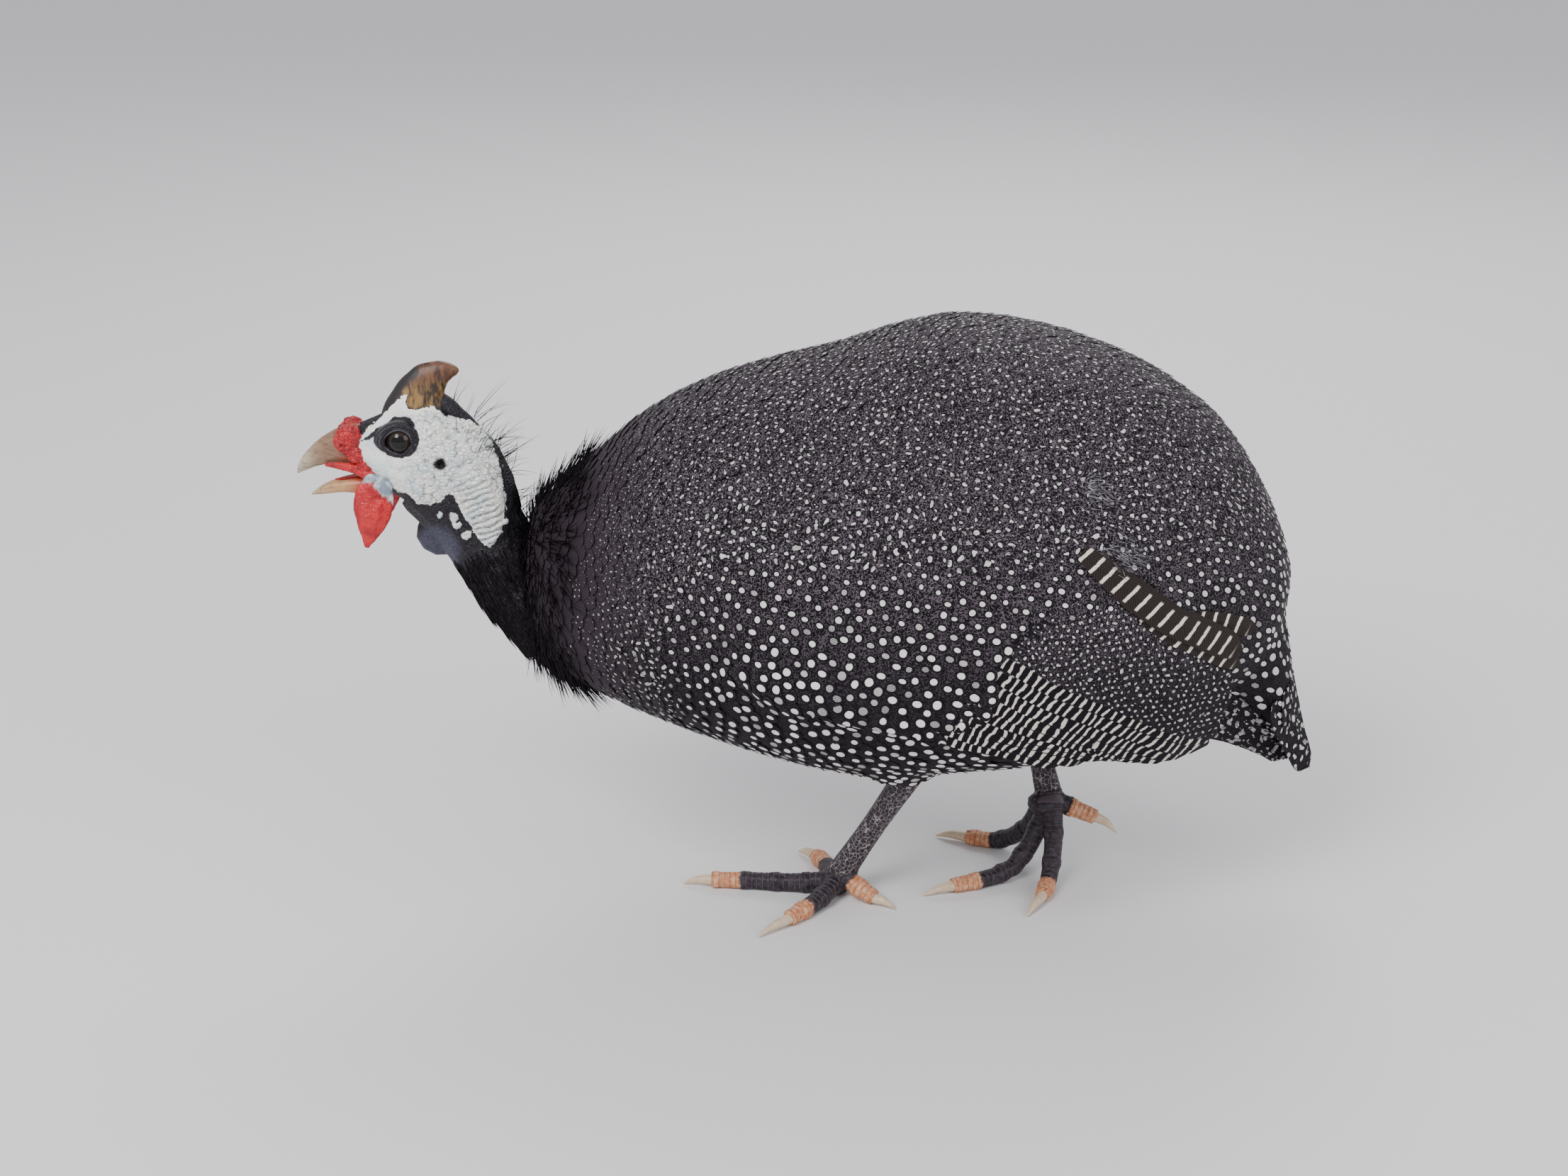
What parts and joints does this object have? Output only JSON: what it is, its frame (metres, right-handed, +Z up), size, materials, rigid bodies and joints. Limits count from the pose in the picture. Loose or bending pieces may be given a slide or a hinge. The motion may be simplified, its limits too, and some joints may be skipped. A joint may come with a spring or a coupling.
{
  "type": "guinea fowl",
  "caption": "Life-size still model of a helmeted guinea fowl: spotted egg-shaped body, bare head with horn casque and red wattles, bill open, low walking stance.",
  "frame": {"origin": "on the floor, under the middle of the bird's bounding box", "axes": "+Z up, the bird faces -X with its left side towards -Y"},
  "size_m": [0.4508, 0.2034, 0.2656],
  "materials": {
    "plumage": "feathered, matt",
    "neck_plumage": "hair-like feathers, matt",
    "face_skin": "wrinkled bare skin, satin",
    "horn": "weathered horn",
    "bill": "smooth horn",
    "red_skin": "soft wrinkled skin, satin",
    "eye": "wet gloss",
    "leg_skin": "scaled skin, satin",
    "claw": "smooth horn"
  },
  "bodies": {
    "root": {"torso": "plumage", "head": "face_skin", "neck": "neck_plumage", "casque": "horn", "bill_upper": "bill", "bill_lower": "bill", "tongue": "red_skin", "tail": "plumage", "eye_left": "eye", "cere_left": "red_skin", "wattle_left": "red_skin", "wing_left": "plumage", "thigh_left": "plumage", "shank_left": "leg_skin", "foot_left": "leg_skin", "claw_left_middle": "claw", "claw_left_outer": "claw", "claw_left_inner": "claw", "claw_left_hind": "claw", "eye_right": "eye", "cere_right": "red_skin", "wattle_right": "red_skin", "wing_right": "plumage", "thigh_right": "plumage", "shank_right": "leg_skin", "foot_right": "leg_skin", "claw_right_middle": "claw", "claw_right_outer": "claw", "claw_right_inner": "claw", "claw_right_hind": "claw"}
  },
  "joints": []
}
